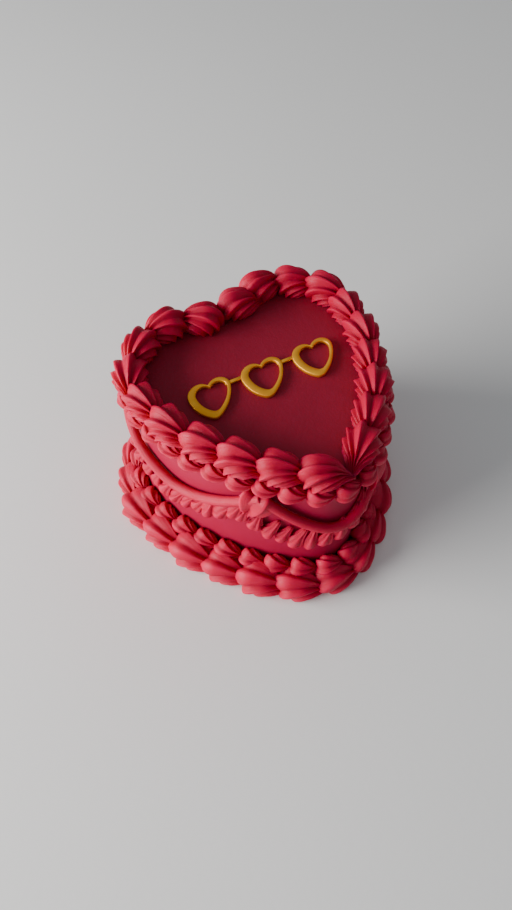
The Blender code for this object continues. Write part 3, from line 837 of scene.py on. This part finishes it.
def rope(name, start, end, seed):
    """A smooth tube of cream that hangs between two joints."""
    fractions = np.linspace(0, 1, ROPE_ALONG)
    middle, out = [], []
    for fraction in fractions:
        place, _, outward = rope_path.at(start + (end - start) * fraction)
        place.z = swag_height(fraction)
        middle.append(place)
        out.append(outward)
    middle, out = np.array(middle), np.array(out)
    way = np.gradient(middle, axis=0)
    way /= np.linalg.norm(way, axis=1)[:, None]
    up = np.cross(way, out)
    out = np.cross(up, way)
    turn = np.linspace(0, 2 * math.pi, ROPE_AROUND, endpoint=False)
    spokes = (
        out[:, None] * np.cos(turn)[None, :, None] + up[:, None] * np.sin(turn)[None, :, None]
    )
    points = (middle[:, None] + spokes * ROPE_RADIUS).reshape(-1, 3)
    uneven = slow_waves(points * ROPE_WAVE_SCALE, seed) * ROPE_WAVE
    points += spokes.reshape(-1, 3) * uneven[:, None]
    points = np.vstack([points, middle[[0, -1]]])
    faces = [
        (r * ROPE_AROUND + i, r * ROPE_AROUND + (i + 1) % ROPE_AROUND,
         (r + 1) * ROPE_AROUND + (i + 1) % ROPE_AROUND, (r + 1) * ROPE_AROUND + i)
        for r in range(ROPE_ALONG - 1)
        for i in range(ROPE_AROUND)
    ]
    first, last = ROPE_ALONG * ROPE_AROUND, (ROPE_ALONG - 1) * ROPE_AROUND
    for i in range(ROPE_AROUND):
        faces.append((first, (i + 1) % ROPE_AROUND, i))
        faces.append((first + 1, last + i, last + (i + 1) % ROPE_AROUND))
    flow = np.meshgrid(fractions * ROPE_FLOW, turn * ROPE_FLOW, indexing="ij")
    flow = np.stack(flow, -1).reshape(-1, 2)
    flow = np.vstack([np.column_stack([flow, np.full(len(flow), seed)]), np.zeros((2, 3))])
    crest = np.full(len(points), ROPE_CREST)
    piece(name, points, faces, CREAM, {"crest": crest, "flow": flow})


for number, ((start, end), name) in enumerate(zip(spans, SWAG_NAMES)):
    rope("swag_" + name, start, end, ROPE_SEED + number)

# %% Ruffles of small shells under the ropes
BEAD_BALLS = (
    (0.0, 0.62, 0.94), (0.40, 0.54, 0.84), (0.92, 0.42, 0.68), (1.42, 0.32, 0.54),
    (1.88, 0.22, 0.42),
)
BEAD_RADIUS, BEAD_PITCH, BEAD_DROP, RUFFLE_END = 0.0043, 0.0064, 0.0117, 0.0075
BEAD_LEAN, BEAD_STRAY, SMALLEST_BEAD, LARGEST_BEAD = 0.45, 0.25, 0.9, 1.1
RUFFLE_SEED = 71
bead_kind = Shell(BEAD_BALLS, ridges=12, depth=0.26, rows=24, steps=54, soft=1.0)


def ruffle(name, start, end, seed):
    """A row of small shells below one rope, each leaning a little its own way."""
    path = Path(WALL_OUT)
    dice = random.Random(seed)
    length = end - start - 2 * RUFFLE_END
    beads = round(length / BEAD_PITCH)
    shells = []
    for index in range(beads):
        along = RUFFLE_END + length * (index + 0.5) / beads
        fraction = along / (end - start)
        place, way, outward = path.at(start + along)
        place.z = swag_height(fraction) - BEAD_DROP
        tail = UP - way * BEAD_LEAN + way * dice.uniform(-BEAD_STRAY, BEAD_STRAY)
        matrix = frame_of(place, tail, outward, dice.uniform(SMALLEST_BEAD, LARGEST_BEAD))
        shells.append((bead_kind, matrix, 0))
    piped_row(name, shells, BEAD_RADIUS, seed)


for number, ((start, end), name) in enumerate(zip(spans, SWAG_NAMES)):
    ruffle("ruffle_" + name, start, end, RUFFLE_SEED + number)

# %% [markdown]
# ## The gold ornament
# A flat ornament cut from a thin gold sheet lies on the top: three open hearts joined by short
# bars, each with a thick and a thin side like pen strokes. It could be a boolean of solids. A
# ring of points between two outlines is simpler, and gives it a fine rounded edge.

# %% Hearts and bars
ORNAMENT_THICKNESS, ORNAMENT_GAP = 0.0018, 0.0003
HEART_WIDTH, HEART_PITCH = 0.0215, 0.0272
HOLE, HOLE_SHIFT = 0.74, complex(0.0010, 0.0002)
BAR_LENGTH, BAR_WIDTH, BAR_HEIGHT = 0.0090, 0.0016, 0.0035
LEAN, TURN, ORNAMENT_PLACE = math.radians(12), math.radians(-4), complex(-0.0018, -0.0030)
HEART_STEPS = 4
ROUND, BAR_SUNK = 0.00025, 0.0002


def ring_solid(outer, inner, low, high):
    """A flat ring with softened edges between two outlines, as points and faces."""
    middle = (outer + inner) / 2
    profile = [
        (outer, low), (outer, high - ROUND),
        (outer + (middle - outer) / abs(middle - outer) * ROUND, high),
        (inner + (middle - inner) / abs(middle - inner) * ROUND, high),
        (inner, high - ROUND), (inner, low),
    ]
    count, lines = len(outer), len(profile)
    points = np.array([(p.real, p.imag, z) for line, z in profile for p in line])
    faces = [
        (r * count + i, r * count + (i + 1) % count,
         ((r + 1) % lines) * count + (i + 1) % count, ((r + 1) % lines) * count + i)
        for r in range(lines)
        for i in range(count)
    ]
    return points, faces


def bar_solid(centre, low, high):
    """A thin bar with softened top edges."""
    ends, side = BAR_LENGTH / 2, BAR_WIDTH / 2
    corners = ((-1, -1), (1, -1), (1, 1), (-1, 1))
    levels = ((0, low), (0, high - ROUND), (ROUND, high))
    points = [
        (centre.real + x * (ends - cut), centre.imag + y * (side - cut), z)
        for cut, z in levels
        for x, y in corners
    ]
    faces = [
        (r * 4 + i, r * 4 + (i + 1) % 4, r * 4 + 4 + (i + 1) % 4, r * 4 + 4 + i)
        for r in range(2)
        for i in range(4)
    ]
    return np.array(points), faces + [(8, 9, 10, 11), (3, 2, 1, 0)]


def gold_ornament():
    outline = Path(0).points[::-HEART_STEPS]
    outline = outline * HEART_WIDTH / np.ptp(outline.real)
    outline = outline + outline.imag * math.tan(LEAN)
    hole = outline * HOLE + HOLE_SHIFT
    low = CAKE_HEIGHT + ORNAMENT_GAP
    high = low + ORNAMENT_THICKNESS
    solids = [
        ring_solid(outline + k * HEART_PITCH, hole + k * HEART_PITCH, low, high)
        for k in (-1, 0, 1)
    ]
    solids += [
        bar_solid(complex(k * HEART_PITCH, BAR_HEIGHT), low + BAR_SUNK, high - BAR_SUNK)
        for k in (-0.5, 0.5)
    ]
    points, faces, start = [], [], 0
    for local, some in solids:
        points.append(local)
        faces += [tuple(start + v for v in face) for face in some]
        start += len(local)
    points = np.vstack(points)
    turned = (points[:, 0] + 1j * points[:, 1]) * np.exp(1j * TURN) + ORNAMENT_PLACE
    points = np.column_stack([turned.real, turned.imag, points[:, 2]])
    piece("gold_ornament", points, faces, GOLD)


gold_ornament()

# %% [markdown]
# ## Floor and light
# The cake stands on a plain pale floor. In the photograph a large window on the left lights it
# from low down, so the wall facing it is bright, the top is darker and the right side is in
# shade. Several lamps could be balanced for that, but one wide area light does it, with a dim sky
# all round to fill the shade.

# %% Floor
FLOOR_SIZE, FLOOR_PARTS = 3.0, 8
FLOOR_DARK, FLOOR_PALE = (0.86, 0.85, 0.83, 1), (0.92, 0.92, 0.91, 1)
FLOOR_CLOUDS, FLOOR_GRAIN = 2.0, 260
FLOOR_GLOSS, FLOOR_BUMP = 0.25, (0.05, 0.0005)


def pale_floor():
    paint = Paint("pale_floor", Specular_IOR_Level=FLOOR_GLOSS)
    place = paint.place()
    cloud = paint.speckle(place, FLOOR_CLOUDS, 2)
    fine = paint.speckle(place, FLOOR_GRAIN, 2)
    return paint.finish(
        Base_Color=paint.blend(cloud, FLOOR_DARK, FLOOR_PALE),
        Roughness=0.5 + fine * 0.1,
        Normal=paint.bump(fine, *FLOOR_BUMP),
    )


sheet = bmesh.new()
bmesh.ops.create_grid(
    sheet, x_segments=FLOOR_PARTS, y_segments=FLOOR_PARTS, size=FLOOR_SIZE
)
floor_mesh = bpy.data.meshes.new("floor")
sheet.to_mesh(floor_mesh)
sheet.free()
floor_mesh.materials.append(pale_floor())
floor = bpy.data.objects.new("floor", floor_mesh)
bpy.context.scene.collection.objects.link(floor)
print("floor is", 2 * FLOOR_SIZE, "m wide")

# %% The window: azimuth 0 is in front of the point, and 90 at +X
KEY_AZIMUTH, KEY_RISE, KEY_DISTANCE = math.radians(-107), math.radians(15), 1.1
KEY_WIDTH, KEY_HEIGHT, KEY_POWER, KEY_COLOUR = 0.9, 0.6, 32, (1.0, 0.98, 0.97)

away = Vector((
    math.sin(KEY_AZIMUTH) * math.cos(KEY_RISE),
    -math.cos(KEY_AZIMUTH) * math.cos(KEY_RISE),
    math.sin(KEY_RISE),
))
lamp = bpy.data.lights.new("key", "AREA")
lamp.shape, lamp.size, lamp.size_y = "RECTANGLE", KEY_WIDTH, KEY_HEIGHT
lamp.energy, lamp.color = KEY_POWER, KEY_COLOUR
light = bpy.data.objects.new("key", lamp)
light.location = away * KEY_DISTANCE + Vector((0, 0, CAKE_HEIGHT / 2))
light.rotation_mode = "QUATERNION"
light.rotation_quaternion = (-away).to_track_quat("-Z", "Y")
bpy.context.scene.collection.objects.link(light)
print("window at", [round(v, 2) for v in light.location])

# %% The sky
SKY_COLOUR, SKY_STRENGTH = (0.92, 0.96, 1.0, 1), 0.33

sky = bpy.data.worlds.new("sky")
sky.use_nodes = True
background = sky.node_tree.nodes["Background"].inputs
background["Color"].default_value = SKY_COLOUR
background["Strength"].default_value = SKY_STRENGTH
bpy.context.scene.world = sky
print("sky at strength", SKY_STRENGTH)
